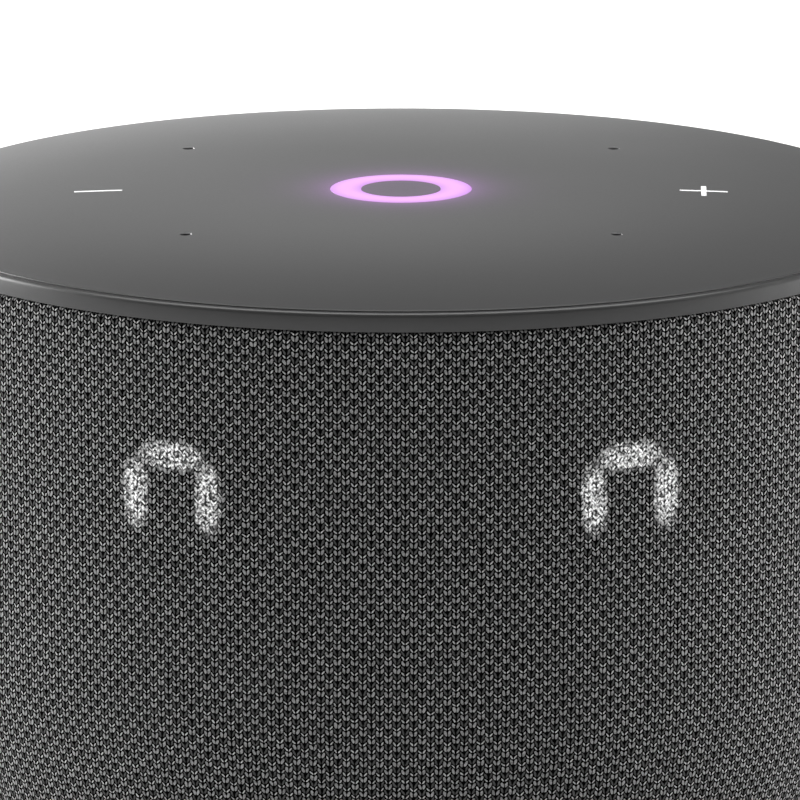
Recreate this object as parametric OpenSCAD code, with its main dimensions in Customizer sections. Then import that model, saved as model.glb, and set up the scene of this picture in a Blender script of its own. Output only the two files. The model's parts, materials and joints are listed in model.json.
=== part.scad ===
// Table-top smart speaker: a knitted cover over a slotted frame, a domed touch top with a light ring,
// a clock display behind the knit, a down-firing driver and two side-firing passive radiators.
// Millimetres, +Z up, the front (the clock) faces -Y, the origin is on the table under the middle.

/* [Body] */
// Outer diameter at the bezel
body_d = 98; // [94:0.5:120]
// Overall height, from the table to the middle of the domed top
body_h = 65; // [64:0.5:85]
// Height of the bezel's visible side
bezel_h = 2; // [1.6:0.1:3]
// Radius of the bezel's upper outer edge
bezel_edge = 0.5; // [0.2:0.1:0.6]
// How far the bezel stands proud of the knit
bezel_proud = 0.15; // [0:0.05:0.5]
// How much smaller the radius gets down the straight part of the side
side_taper = 0.4; // [0:0.1:1]
// Height of the rounded lower part of the side
tuck_h = 24; // [18:1:28]
// How far the rounded lower part draws in
tuck_in = 12; // [9:0.5:13]
// Thickness of the knitted cover
fabric_t = 0.8; // [0.5:0.1:1]
// Wall of the slotted frame under the knit
grille_wall = 1.6; // [1.2:0.1:2]

/* [Foot and base] */
// Outer diameter of the rubber foot
foot_d = 67; // [66:0.5:69]
// Inner diameter of the rubber foot
foot_bore = 48; // [40:0.5:50]
// How far the foot stands below the base plate
foot_rise = 1.2; // [0.8:0.1:2]
// How deep the foot sits in the base plate
foot_seat = 1; // [0.6:0.1:1.2]
// Thickness of the base plate
base_t = 3; // [2.8:0.1:4]
// Height of the deflector cone on the base plate
deflector_h = 3.2; // [1:0.1:3.5]

/* [Top] */
// How much the middle of the cover stands above its edge
dome_h = 1.9; // [0.5:0.1:2.5]
// Thickness of the top cover at its edge
cover_t = 1.6; // [1.4:0.1:2]
// Gap between the cover and the bezel
cover_gap = 0.1; // [0.05:0.05:0.3]
// How far the bezel's top lies below the cover's edge
bezel_drop = 0.12; // [0:0.02:0.3]
// Diameter of the circle that carries the microphones and the volume marks
control_circle = 58; // [50:0.2:64]
// Diameter of a microphone hole
mic_hole_d = 1; // [0.6:0.1:1.5]
// Outer diameter of the light ring
ring_d = 13.6; // [12:0.2:18]
// Width of the light ring
ring_w = 3; // [1.5:0.1:3.5]
// Length of a volume mark's strokes
mark_len = 4.6; // [3:0.1:6]
// Width of a volume mark's strokes
mark_w = 0.5; // [0.3:0.05:0.8]

/* [Clock display] */
// Height of the middle of the digits above the table
digit_z = 40.6; // [40:0.1:43]
// Distance between the two columns of segments of a digit
cell_w = 7.6; // [7:0.05:8.2]
// Distance between two rows of segments of a digit
cell_h = 7.4; // [7:0.1:8.2]
// Width of a segment
seg_w = 1.8; // [1.2:0.1:2.2]
// Distance along the front between the middle and an inner digit
digit_inner = 8; // [7.6:0.1:9]
// Distance along the front between two neighbouring digits
digit_pitch = 14; // [12.5:0.1:15]

/* [Sound] */
// Outer diameter of the sealed chamber
chamber_d = 73; // [72:0.5:73]
// Wall of the chamber
chamber_wall = 2.2; // [1.8:0.1:2.6]
// Height of the chamber, floor and lid included
chamber_h = 37.2; // [36.5:0.1:40]
// Gap between the base plate and the chamber, where the sound comes out
sound_gap = 7.8; // [7.4:0.1:9]
// Diameter of the driver's flange
driver_d = 51; // [50:0.5:51]
// Diameter of the voice coil's former
coil_d = 20; // [19:0.2:21]
// Travel of the driver's cone each way
cone_travel = 2; // [1:0.1:2]
// Diameter of a passive radiator's frame
radiator_d = 31; // [28:0.5:31]
// Height of the radiators' axis above the table
radiator_z = 30; // [29.5:0.25:31]
// Travel of a radiator each way
radiator_travel = 2.5; // [1:0.1:2.5]

/* [Rear sockets] */
// Height of the sockets' axis above the table
port_z = 31; // [30:0.25:33]
// Width of the socket panel
port_w = 34; // [32:0.5:36]
// Height of the socket panel
port_h = 12; // [11.5:0.1:13]
// Depth of the chamber's pocket for the sockets, from the chamber's back
pocket_depth = 9; // [7:0.5:9.5]
// Bore of the power socket
power_bore = 6; // [5.6:0.1:6.4]
// Bore of the audio socket
audio_bore = 3.6; // [3.5:0.05:3.8]
// Travel of the microphone switch's slider
mute_travel = 2; // [1:0.1:2.5]

/* [Hidden] */
$fn = 96;

// Clearances
fit = 0.1;         // between pieces that seat against or inside each other
slip = 0.05;       // round a screw's shank in its pilot hole
loose = 0.3;       // between pieces that only pass each other
eps = 0.01;        // how far a cut runs past a face
cut = 1;           // how far a cut runs past a whole piece

// Body profile
body_r = body_d / 2;
edge_z = body_h - dome_h;
bezel_z = edge_z - bezel_h;
hem_z = foot_rise + 0.4;
tuck_z = hem_z + tuck_h;
tuck_b = tuck_h * 1.04;
knot_step = 7.5;
knit_top = bezel_z - slip;

// Radius of the knit's outside at height z: a slight taper, then a quarter of an ellipse
function side_r(z) =
    let (straight = body_r - bezel_proud - side_taper * (bezel_z - max(z, tuck_z)) / (bezel_z - tuck_z),
         drop = max(tuck_z - z, 0) / tuck_b)
    straight - tuck_in * (1 - sqrt(1 - drop * drop));
// Heights on the rounded part, the same for every shell so that they nest, from the top down
knots = [for (t = [0:knot_step:90 - eps]) tuck_z - tuck_b * sin(t)];
// Outside and inside radius of the slotted frame
function frame_r(z) = side_r(z) - fabric_t - fit;
function hollow_r(z) = frame_r(z) - grille_wall;
function backwards(list) = [for (i = [len(list) - 1:-1:0]) list[i]];
// Points of the side, from height a up to height b, moved inwards by inset
function side(a, b, inset) = [
    for (z = concat(a, backwards([for (k = knots) if (k > a + fit) k]), b)) [side_r(z) - inset, z]];

// Base
base_z = foot_rise;
base_top = base_z + base_t;
frame_low = hem_z + fabric_t + slip;
base_plug_r = hollow_r(frame_low) - loose;
base_lip_r = base_plug_r + 1.6;
hem_inner_r = base_plug_r + loose;
lug_r = 2;
lug_h = 6;
lug_circle_r = base_plug_r - lug_r - 0.2;

// Chamber
chamber_r = chamber_d / 2;
floor_z = base_top + sound_gap;
floor_t = 2.4;
lid_t = 2.4;
gasket_t = 0.4;
lid_z = floor_z + chamber_h - lid_t;
lid_top = lid_z + lid_t;
leg_circle_r = 29.5;
leg_r = 2.6;
lid_boss_circle_r = chamber_r - 4.5;
lid_boss_r = 2.6;
lid_boss_h = 8;

// Screws: [shank radius, head radius, head height]
m2 = [0.9, 1.5, 1];
m25 = [1.15, 2, 1.3];
screw_slot_w = 0.5;

// Driver, which fires down
driver_r = driver_d / 2;
flange_t = 1.6;
flange_z = floor_z - gasket_t - flange_t;
flange_bore_r = driver_r - 3.6;
basket_top_r = driver_r - 6.9;
basket_wall = 1.2;
basket_h = 10;
basket_top_t = 1.5;
plate_z = flange_z + basket_h + basket_top_t;
plate_t = 3;
magnet_t = 6;
yoke_t = 3;
motor_r = 17;
coil_r = coil_d / 2;
former_t = 0.25;
winding_t = 0.6;
winding_h = 4;
air_gap = 0.4;
pole_r = coil_r - former_t - air_gap;
plate_bore_r = coil_r + winding_t + air_gap;
cone_t = 0.4;
cone_edge_r = flange_bore_r - 4;
cone_neck_z = flange_z + 6.6;
cone_edge_z = flange_z + 0.7;
spider_z = flange_z + 8.2;
spider_t = 0.3;
spider_wave = 0.6;
basket_in = [flange_bore_r - basket_wall * 0.4, basket_top_r - basket_wall];
// Inside radius of the basket's slanted wall at a height above the flange
function basket_r(h) = basket_in[0] + (basket_in[1] - basket_in[0]) * (h - flange_t) / (basket_h - flange_t);
driver_screw_circle_r = driver_r - 1.8;

// Passive radiators, on the X axis at each side
radiator_r = radiator_d / 2;
radiator_seat_x = chamber_r + 2.1;
radiator_bore_r = radiator_r - 2.9;
radiator_frame_t = 1.5;
radiator_disc_r = radiator_bore_r - 4;
radiator_disc_t = 1.2;
radiator_mass_t = 2.5;

// Main board and what it carries
board_t = 1.4;
board_z = lid_top + 3.2;
board_top = board_z + board_t;
board_r = 37.5;
cable_t = 0.3;
post_circle_r = 30;
post_r = 2.6;

// Bezel and cover
cover_z = edge_z - cover_t;
cover_r = body_r - bezel_edge - cover_gap;
dome_steps = 16;
// Height of the cover's upper face at a distance from the middle: nearly flat, then falling to the edge
function dome_z(r) = body_h - dome_h * pow(r / cover_r, 4);
seat_t = 1.2;
touch_t = 1.2;
touch_gap = 0.5;
touch_z = cover_z - touch_gap - touch_t;
touch_r = body_r - 5.5;
skirt_r = hollow_r(bezel_z - 8) - fit;
skirt_wall = 1.6;
skirt_low = touch_z - 4.7;
ledge_w = 1.6;
ledge_t = 1;
ear_t = 2;
ear_circle_r = skirt_r - skirt_wall - 2.4;
ear_r = 2.5;
ring_r = ring_d / 2;
ring_bore_r = ring_r - ring_w;
ring_mid_r = ring_r - ring_w / 2;
lens_t = 0.6;
diffuser_t = 0.5;
mark_t = 0.3;
light_port_r = 0.9;
light_ports = 8;
control_r = control_circle / 2;
mark_z = dome_z(control_r + mark_len / 2) - mark_t;

// Clock display
display_r = frame_r(digit_z) - fit;
digit_outer = digit_inner + digit_pitch;
mask_top = digit_z + cell_h + seg_w / 2 + 2;
mask_low = digit_z - cell_h - seg_w / 2 - 2;
mask_half_angle = (digit_outer + cell_w / 2 + seg_w / 2 + 2) / display_r * 180 / PI;
mask_half_w = display_r * sin(mask_half_angle);
mask_back_y = -display_r * cos(mask_half_angle) + 0.2;
display_board_t = 1;
display_board_y = mask_back_y + 0.6;
display_board_half_w = sqrt(pow(hollow_r(mask_low), 2) - pow(display_board_y, 2)) - loose;
seg_gap = 0.25;
seg_len = cell_w - seg_w - seg_gap;
seg_corner = 0.4;
colon_d = 1.6;

// Rear sockets
power_x = 9.5;
audio_x = 0;
mute_x = -9.5;
port_r = side_r(port_z) - 0.2;
port_flange = 2;
port_board_t = 1.2;
pocket_y = chamber_r - pocket_depth;
pocket_half_w = port_w / 2 + 1;
pocket_half_h = port_h / 2 + 2;
port_board_y = pocket_y + 1;
socket_back_y = port_board_y + port_board_t;
panel_inner_r = hollow_r(port_z - port_h / 2 - port_flange) - fit;
panel_back_r = panel_inner_r - port_flange;
nose_r = audio_bore / 2 + 1;
nose_y = sqrt(pow(port_r, 2) - pow(nose_r, 2)) - 0.2;
socket_len = sqrt(pow(panel_back_r, 2) - pow(power_x + 4.5, 2)) - fit - socket_back_y;
power_pin_r = 1.05;
slider_w = 2.2;
slider_h = 1.8;
slider_back_y = socket_back_y + socket_len - 4;

module ring(outer, inner, height) {
    difference() {
        cylinder(r = outer, h = height);
        translate([0, 0, -cut]) cylinder(r = inner, h = height + 2 * cut);
    }
}

// Copies of the children on a circle, the first one at angle start
module around(count, radius, start = 0) {
    for (i = [0:count - 1]) rotate([0, 0, start + i * 360 / count]) translate([radius, 0, 0]) children();
}

// A screw whose head's underside is at the origin and whose shank points up
module screw(size, length) {
    translate([0, 0, -eps]) cylinder(r = size[0], h = length + eps);
    difference() {
        translate([0, 0, -size[2]]) cylinder(r = size[1], h = size[2]);
        for (turn = [0, 90]) rotate([0, 0, turn])
            translate([-size[1] * 0.6, -screw_slot_w / 2, -size[2] - cut])
                cube([size[1] * 1.2, screw_slot_w, cut + size[2] / 2]);
    }
}

// The pilot hole that such a screw goes into
module pilot(size, length) {
    translate([0, 0, -eps]) cylinder(r = size[0] + slip, h = length);
}

// Stands its children on the X axis, at the left (-1) or the right (1)
module at_side(s) {
    translate([0, 0, radiator_z]) rotate([0, 90 * s, 0]) children();
}

// Touch top ----------------------------------------------------------------------------------------

module mark_bar(along_y, height) {
    size = along_y ? [mark_w, mark_len] : [mark_len, mark_w];
    translate([-size[0] / 2, -size[1] / 2, 0]) cube([size[0], size[1], height]);
}

module minus_shape(height) {
    translate([-control_r, 0, 0]) mark_bar(false, height);
}

module plus_shape(height) {
    translate([control_r, 0, 0]) {
        mark_bar(false, height);
        mark_bar(true, height);
    }
}

// Everything under the cover's upper face, down to height z
module under_dome(z) {
    face = [for (i = [0:dome_steps]) let (r = cover_r * i / dome_steps) [r, dome_z(r)]];
    rotate_extrude() polygon(concat([[0, z]], face, [[cover_r, z]]));
}

module top_cover() {
    color("dimgray") difference() {
        under_dome(cover_z);
        around(4, control_r, 45) translate([0, 0, cover_z - cut])
            cylinder(d = mic_hole_d, h = cover_t + dome_h + 2 * cut);
        translate([0, 0, body_h - lens_t]) ring(ring_r, ring_bore_r, lens_t + cut);
        translate([0, 0, cover_z - cut]) ring(ring_r + fit, ring_bore_r - fit, diffuser_t + fit + cut);
        around(light_ports, ring_mid_r) translate([0, 0, cover_z])
            cylinder(r = light_port_r, h = cover_t + dome_h);
        translate([0, 0, mark_z]) {
            minus_shape(dome_h + cut);
            plus_shape(dome_h + cut);
        }
    }
}

module light_ring_lens() {
    color("orchid") translate([0, 0, body_h - lens_t]) ring(ring_r, ring_bore_r, lens_t);
}

module light_diffuser() {
    color("white") translate([0, 0, cover_z + fit]) ring(ring_r, ring_bore_r, diffuser_t);
}

module minus_mark() {
    color("white") intersection() {
        under_dome(cover_z);
        translate([0, 0, mark_z]) minus_shape(dome_h);
    }
}

module plus_mark() {
    color("white") intersection() {
        under_dome(cover_z);
        translate([0, 0, mark_z]) plus_shape(dome_h);
    }
}

module bezel_ring() {
    corner = [body_r - bezel_edge, edge_z - bezel_drop - bezel_edge];
    edge = [for (a = [0:15:90]) corner + bezel_edge * [cos(a), sin(a)]];
    skirt_in = skirt_r - skirt_wall;
    color("dimgray") difference() {
        union() {
            rotate_extrude() polygon(concat(
                [[body_r - fabric_t - bezel_proud - fit, bezel_z], [body_r, bezel_z]],
                edge,
                [[cover_r + cover_gap, cover_z - slip], [skirt_in, cover_z - slip], [skirt_in, touch_z - fit],
                 [skirt_in - ledge_w, touch_z - fit], [skirt_in - ledge_w, touch_z - fit - ledge_t],
                 [skirt_in, touch_z - fit - ledge_t], [skirt_in, skirt_low], [skirt_r, skirt_low],
                 [skirt_r, cover_z - slip - seat_t],
                 [body_r - fabric_t - bezel_proud - fit, cover_z - slip - seat_t]]));
            intersection() {
                around(4, ear_circle_r, 45) translate([0, 0, skirt_low])
                    cylinder(r = ear_r, h = touch_z - fit - skirt_low);
                translate([0, 0, skirt_low - cut]) cylinder(r = skirt_r - fit, h = body_h);
            }
        }
        around(4, ear_circle_r, 45) translate([0, 0, skirt_low]) pilot(m2, 4);
    }
}

module touch_board() {
    color("darkgreen") difference() {
        translate([0, 0, touch_z]) cylinder(r = skirt_r - skirt_wall - loose, h = touch_t);
        around(4, control_r, 45) translate([0, 0, touch_z - cut])
            cylinder(d = mic_hole_d, h = touch_t + 2 * cut);
    }
}

module touch_pads() {
    color("goldenrod") translate([0, 0, touch_z + touch_t]) {
        for (s = [-1, 1]) translate([s * control_r, 0, 0]) cylinder(r = 5, h = touch_gap);
        ring(ring_r + 4, ring_r + 2, touch_gap);
    }
}

module ring_leds() {
    color("white") around(light_ports, ring_mid_r) translate([-0.5, -0.5, touch_z + touch_t])
        cube([1, 1, touch_gap]);
}

module microphones() {
    color("silver") around(4, control_r, 45) difference() {
        translate([-1.9, -1.4, touch_z - 1]) cube([3.8, 2.8, 1]);
        translate([0, 0, touch_z - 0.4]) cylinder(d = mic_hole_d, h = cut);
    }
}

module microphone_gaskets() {
    color("black") around(4, control_r, 45) translate([0, 0, touch_z + touch_t])
        ring(2, mic_hole_d / 2 + 0.2, touch_gap);
}

// A flat cable in straight runs along Y and Z between the points of a route
module flat_cable(width, route) {
    for (i = [1:len(route) - 1]) let (a = route[i - 1], b = route[i])
        translate([-width / 2, min(a[0], b[0]), min(a[1], b[1])])
            cube([width, abs(a[0] - b[0]) + cable_t, abs(a[1] - b[1]) + cable_t]);
}

// From the touch board's underside down to a connector on the main board
module ribbon_cable() {
    color("white") flat_cable(10, [[24, touch_z - cable_t], [18, touch_z - cable_t], [18, board_top + 0.5],
                                   [21, board_top + 0.5]]);
    color("ivory") translate([-6, 21, board_top]) cube([12, 4, 1.4]);
}

module top_screws() {
    color("silver") around(4, ear_circle_r, 45) translate([0, 0, skirt_low - ear_t - slip]) screw(m2, 5);
}

// Electronics on the chamber's lid --------------------------------------------------------------------

module main_board() {
    color("darkgreen") difference() {
        translate([0, 0, board_z]) cylinder(r = board_r, h = board_t);
        around(4, post_circle_r) translate([0, 0, board_z - cut]) cylinder(r = m2[0] + fit, h = 4);
        translate([-6, board_r - 2.5, board_z - cut]) cube([12, 6, 4]);
    }
}

module processor_shield() {
    color("silver") translate([-22, -12, board_top]) difference() {
        cube([20, 20, 2.2]);
        translate([0.3, 0.3, -cut]) cube([19.4, 19.4, 1.9 + cut]);
    }
}

module radio_module() {
    color("silver") translate([4, -24, board_top]) {
        cube([14, 12, 1.9]);
        translate([0, -4, 0]) cube([14, 4 - fit, 0.8]);
    }
}

module board_components() {
    color("black") {
        for (x = [8, 16]) translate([x, 4, board_top]) cylinder(r = 3, h = 4);
        translate([18, -8, board_top]) cube([6, 6, 3]);
        translate([-12, 24, board_top]) cube([5, 5, 1.2]);
        translate([-4, -22, board_top]) cube([4, 4, 1]);
        for (i = [0:5]) translate([-22 + 3 * i, 12, board_top]) cube([1.6, 0.8, 0.8]);
        for (i = [0:5]) translate([-14 + 2.4 * i, -18, board_top]) cube([0.8, 1.6, 0.6]);
    }
}

module heat_spreader() {
    color("silver") translate([-20, -10, board_top + 2.2]) {
        cube([16, 16, 0.6]);
        for (i = [0:5]) translate([i * 3, 0, 0.6 - eps]) cube([1, 16, 1]);
    }
}

module board_screws() {
    color("silver") around(4, post_circle_r) translate([0, 0, board_top]) mirror([0, 0, 1]) screw(m2, 3.6);
}

// Knitted cover and slotted frame -----------------------------------------------------------------------

module port_window(gap) {
    translate([-port_w / 2 - gap, 0, port_z - port_h / 2 - gap])
        cube([port_w + 2 * gap, body_r + cut, port_h + 2 * gap]);
}

module fabric_sleeve() {
    outer = side(hem_z, knit_top, 0);
    inner = side(hem_z + fabric_t, knit_top, fabric_t);
    color("darkslategray") difference() {
        rotate_extrude() polygon(concat([[hem_inner_r, hem_z]], outer, backwards(inner),
                                        [[hem_inner_r, hem_z + fabric_t]]));
        port_window(fit);
    }
}

module grille_frame() {
    outer = side(frame_low, cover_z - seat_t - fit, fabric_t + fit);
    inner = side(frame_low, cover_z - seat_t - fit, fabric_t + fit + grille_wall);
    slots = 36;
    slot_w = 3;
    color("black") difference() {
        union() {
            rotate_extrude() polygon(concat(outer, backwards(inner)));
            difference() {
                around(4, ear_circle_r, 45) translate([0, -ear_r, skirt_low - ear_t - slip]) {
                    translate([0, ear_r, 0]) cylinder(r = ear_r, h = ear_t);
                    cube([hollow_r(skirt_low) - ear_circle_r + grille_wall / 2, 2 * ear_r, ear_t]);
                }
                around(4, ear_circle_r, 45) translate([0, 0, skirt_low - ear_t - cut])
                    cylinder(r = m2[0] + fit, h = ear_t + 2 * cut);
            }
        }
        for (i = [0:slots - 1]) rotate([0, 0, (i + 0.5) * 360 / slots]) {
            behind_port = abs((i + 0.5) * 360 / slots - 90) < 32;
            behind_clock = abs((i + 0.5) * 360 / slots - 270) < mask_half_angle + 5;
            translate([chamber_r, -slot_w / 2, base_top + 1])
                cube([body_r, slot_w, behind_port ? 12 : sound_gap + 9]);
            if (!behind_port && !behind_clock) translate([chamber_r, -slot_w / 2, tuck_z + 2])
                cube([body_r, slot_w, skirt_low - ear_t - 4 - tuck_z]);
        }
        port_window(fit);
        display_block(fit);
    }
    color("black") difference() {
        around(4, lug_circle_r) translate([0, 0, base_top + fit]) {
            cylinder(r = lug_r, h = lug_h);
            translate([0, -lug_r, 0]) cube([hollow_r(base_top) - lug_circle_r + grille_wall / 2, 2 * lug_r, lug_h]);
        }
        around(4, lug_circle_r) translate([0, 0, base_top]) pilot(m2, lug_h - 1);
    }
}

// Clock display ------------------------------------------------------------------------------------------

// The block between the flat display board and the curved front, grown by gap
module display_block(gap) {
    intersection() {
        translate([0, 0, mask_low - gap]) cylinder(r = display_r + (gap > 0 ? cut : 0), h = mask_top - mask_low + 2 * gap);
        translate([-mask_half_w - gap, -body_r, mask_low - gap])
            cube([2 * (mask_half_w + gap), body_r + mask_back_y, mask_top - mask_low + 2 * gap]);
    }
}

// One segment's outline, lying along X, shortened and narrowed by inset
module segment(inset) {
    l = seg_len / 2 - inset;
    w = seg_w / 2 - inset;
    c = seg_corner;
    polygon([[-l, w - c], [-l + c, w], [l - c, w], [l, w - c], [l, c - w], [l - c, -w], [c - l, -w], [-l, c - w]]);
}

// The seven segments of a digit as outlines round the origin
module digit_outline(inset) {
    for (row = [-1:1]) translate([0, row * cell_h]) segment(inset);
    for (s = [-1, 1], row = [-1, 1]) translate([s * cell_w / 2, row * cell_h / 2]) rotate(90) segment(inset);
}

// Carries an outline to its place on the front, at a distance along the curve, and gives it depth
module on_front(along) {
    rotate([0, 0, along / display_r * 180 / PI]) translate([0, -display_r * 0.75, digit_z])
        rotate([90, 0, 0]) linear_extrude(display_r * 0.3) children();
}

module digit(along, inset) {
    intersection() {
        on_front(along) digit_outline(inset);
        display_block(0);
    }
}

module colon(inset) {
    intersection() {
        on_front(0) for (s = [-1, 1]) translate([0, s * cell_h / 2]) circle(d = colon_d - 2 * inset);
        display_block(0);
    }
}

digit_places = [-digit_outer, -digit_inner, digit_inner, digit_outer];

module display_mask() {
    color("black") difference() {
        display_block(0);
        for (place = digit_places) on_front(place) digit_outline(0);
        on_front(0) for (s = [-1, 1]) translate([0, s * cell_h / 2]) circle(d = colon_d);
    }
}

module digit_light_pipes(index) {
    color("white") digit(digit_places[index], slip);
}

module colon_dots() {
    color("white") colon(slip);
}

module display_board() {
    color("darkgreen") translate([-display_board_half_w, display_board_y, mask_low])
        cube([2 * display_board_half_w, display_board_t, mask_top - mask_low]);
}

module display_leds() {
    spots = concat([for (row = [-1:1]) [0, row * cell_h]],
                   [for (s = [-1, 1], row = [-1, 1]) [s * cell_w / 2, row * cell_h / 2]]);
    color("ivory") for (place = digit_places, spot = spots) let (turn = place / display_r * 180 / PI)
        translate([spot[0] / cos(turn) - display_board_y * tan(turn) - 0.5,
                   display_board_y - 0.4, digit_z + spot[1] - 0.3]) cube([1, 0.4, 0.6]);
    color("ivory") for (s = [-1, 1]) translate([-0.5, display_board_y - 0.4, digit_z + s * cell_h / 2 - 0.3])
        cube([1, 0.4, 0.6]);
}

// Sealed chamber -----------------------------------------------------------------------------------------

// The pocket at the back for the sockets, grown by gap
module port_pocket(gap) {
    translate([-pocket_half_w - gap, pocket_y - gap, port_z - pocket_half_h - gap])
        cube([2 * (pocket_half_w + gap), body_r, 2 * (pocket_half_h + gap)]);
}

module chamber_body() {
    wall_top = lid_z - gasket_t;
    color("black") difference() {
        union() {
            difference() {
                translate([0, 0, floor_z]) cylinder(r = chamber_r, h = wall_top - floor_z);
                difference() {
                    translate([0, 0, floor_z + floor_t]) cylinder(r = chamber_r - chamber_wall, h = chamber_h);
                    port_pocket(chamber_wall);
                }
                port_pocket(0);
            }
            around(4, leg_circle_r, 45) translate([0, 0, base_top + fit]) cylinder(r = leg_r, h = sound_gap);
            intersection() {
                around(4, lid_boss_circle_r, 45) translate([0, 0, wall_top - lid_boss_h])
                    cylinder(r = lid_boss_r, h = lid_boss_h);
                cylinder(r = chamber_r - eps, h = body_h);
            }
            for (s = [-1, 1]) at_side(s) translate([0, 0, chamber_r - 5])
                cylinder(r = radiator_r + 0.6, h = radiator_seat_x - chamber_r + 5);
        }
        translate([0, 0, floor_z - cut]) cylinder(r = driver_r - 2.9, h = floor_t + 2 * cut);
        around(4, driver_screw_circle_r) translate([0, 0, floor_z]) pilot(m2, floor_t + cut);
        around(4, leg_circle_r, 45) translate([0, 0, base_top]) pilot(m25, sound_gap - 1);
        around(4, lid_boss_circle_r, 45) translate([0, 0, wall_top - 6]) cylinder(r = m2[0] + slip, h = 8);
        for (s = [-1, 1]) at_side(s) translate([0, 0, chamber_r - 8]) cylinder(r = radiator_bore_r, h = 20);
        for (s = [-1, 1]) at_side(s) translate([0, 0, chamber_r - 8])
            cylinder(r = radiator_r - 1, h = 8 - chamber_wall);
    }
}

module chamber_lid() {
    color("black") difference() {
        union() {
            translate([0, 0, lid_z]) cylinder(r = chamber_r, h = lid_t);
            around(4, post_circle_r) translate([0, 0, lid_top - eps]) cylinder(r = post_r, h = board_z - lid_top + eps);
        }
        around(4, lid_boss_circle_r, 45) translate([0, 0, lid_z - cut]) cylinder(r = m2[0] + fit, h = lid_t + 2 * cut);
        around(4, post_circle_r) translate([0, 0, lid_z + 1]) cylinder(r = m2[0] + slip, h = 8);
    }
}

// The soft seals under the lid and on top of the driver's flange
module chamber_gaskets() {
    color("dimgray") {
        translate([0, 0, lid_z - gasket_t]) ring(chamber_r - fit, chamber_r - chamber_wall + fit, gasket_t);
        translate([0, 0, floor_z - gasket_t]) difference() {
            ring(driver_r, driver_r - 2.9, gasket_t);
            around(4, driver_screw_circle_r) translate([0, 0, -cut]) cylinder(r = m2[0] + fit, h = 3);
        }
    }
}

module lid_screws() {
    color("silver") around(4, lid_boss_circle_r, 45) translate([0, 0, lid_top]) mirror([0, 0, 1]) screw(m2, 7);
}

// Driver ---------------------------------------------------------------------------------------------------

module driver_basket() {
    top_z = flange_z + basket_h;
    color("dimgray") difference() {
        union() {
            translate([0, 0, flange_z]) ring(driver_r, flange_bore_r, flange_t);
            rotate_extrude() polygon([
                [flange_bore_r, flange_z + flange_t - eps], [driver_r - 3.2, flange_z + flange_t - eps],
                [basket_top_r, top_z], [basket_top_r, top_z + basket_top_t],
                [plate_bore_r, top_z + basket_top_t], [plate_bore_r, top_z],
                [basket_in[1], top_z], [basket_in[0], flange_z + flange_t]]);
        }
        around(4, driver_screw_circle_r) translate([0, 0, flange_z - cut]) cylinder(r = m2[0] + fit, h = 4);
        around(6, driver_r - 5, 30) translate([-5, -4, flange_z + flange_t + 1.2])
            cube([10, 8, basket_h - flange_t - 2.4]);
    }
}

module driver_screws() {
    color("silver") around(4, driver_screw_circle_r) translate([0, 0, flange_z]) screw(m2, 4);
}

module top_plate() {
    color("silver") translate([0, 0, plate_z]) ring(motor_r, plate_bore_r, plate_t);
}

module magnet() {
    color("dimgray") translate([0, 0, plate_z + plate_t]) ring(motor_r - 0.5, plate_bore_r + 1.2, magnet_t);
}

module yoke() {
    color("silver") {
        translate([0, 0, plate_z + plate_t + magnet_t]) cylinder(r = motor_r, h = yoke_t);
        translate([0, 0, plate_z]) cylinder(r = pole_r, h = plate_t + magnet_t + eps);
    }
}

module voice_coil() {
    color("peru") {
        translate([0, 0, cone_neck_z - 0.2]) ring(coil_r, coil_r - former_t, plate_z + plate_t + 1 - cone_neck_z);
        translate([0, 0, plate_z - 0.5]) ring(coil_r + winding_t, coil_r - eps, winding_h);
    }
}

module cone() {
    neck_r = coil_r + slip;
    color("black") rotate_extrude() polygon([
        [cone_edge_r, cone_edge_z], [cone_edge_r, cone_edge_z + cone_t],
        [cone_edge_r - 1.2, cone_edge_z + cone_t], [neck_r, cone_neck_z + cone_t],
        [neck_r, cone_neck_z], [cone_edge_r - 1.4, cone_edge_z]]);
}

module dust_cap() {
    cap_r = coil_r + 1;
    base = cone_neck_z - 1.2;
    bulge = 1.8;
    arc = [for (i = [0:6]) let (x = cap_r * i / 6) [x, base - bulge * (1 - pow(x / cap_r, 2))]];
    color("black") rotate_extrude() polygon(concat(arc, [for (p = backwards(arc)) p + [0, 0.3]]));
}

// The half-round roll between two radii, bulging by its own height to one side of z
module roll(inner, outer, z, thickness) {
    middle = (inner + outer) / 2;
    land = 0.7;
    big = (outer - inner) / 2 - land;
    steps = [for (a = [0:20:180]) a];
    rotate_extrude() polygon(concat(
        [[inner, z]], [for (a = steps) [middle - big * cos(a), z - big * 0.8 * sin(a)]], [[outer, z]],
        [[outer, z + thickness]],
        [for (a = backwards(steps)) [middle - (big - thickness) * cos(a), z + thickness - big * 0.8 * sin(a)]],
        [[inner, z + thickness]]));
}

module surround() {
    color("black") roll(cone_edge_r + slip, flange_bore_r - slip, cone_edge_z, 0.35);
}

module spider() {
    inner = coil_r + slip;
    outer = basket_r(spider_z - flange_z + spider_wave + spider_t) - slip;
    folds = 4;
    wave = [for (i = [0:2 * folds]) [inner + (outer - inner) * i / (2 * folds), spider_z + (i % 2) * spider_wave]];
    color("goldenrod") rotate_extrude() polygon(concat(wave, [for (p = backwards(wave)) p + [0, spider_t]]));
}

// Passive radiators ------------------------------------------------------------------------------------------

module radiator_frame(s) {
    color("dimgray") at_side(s) translate([0, 0, radiator_seat_x]) ring(radiator_r, radiator_bore_r, radiator_frame_t);
}

module radiator_diaphragm(s) {
    color("black") at_side(s) translate([0, 0, radiator_seat_x + 0.2]) {
        cylinder(r = radiator_disc_r, h = radiator_disc_t);
        translate([0, 0, -radiator_mass_t]) cylinder(r = radiator_disc_r - 2, h = radiator_mass_t + eps);
    }
}

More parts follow.
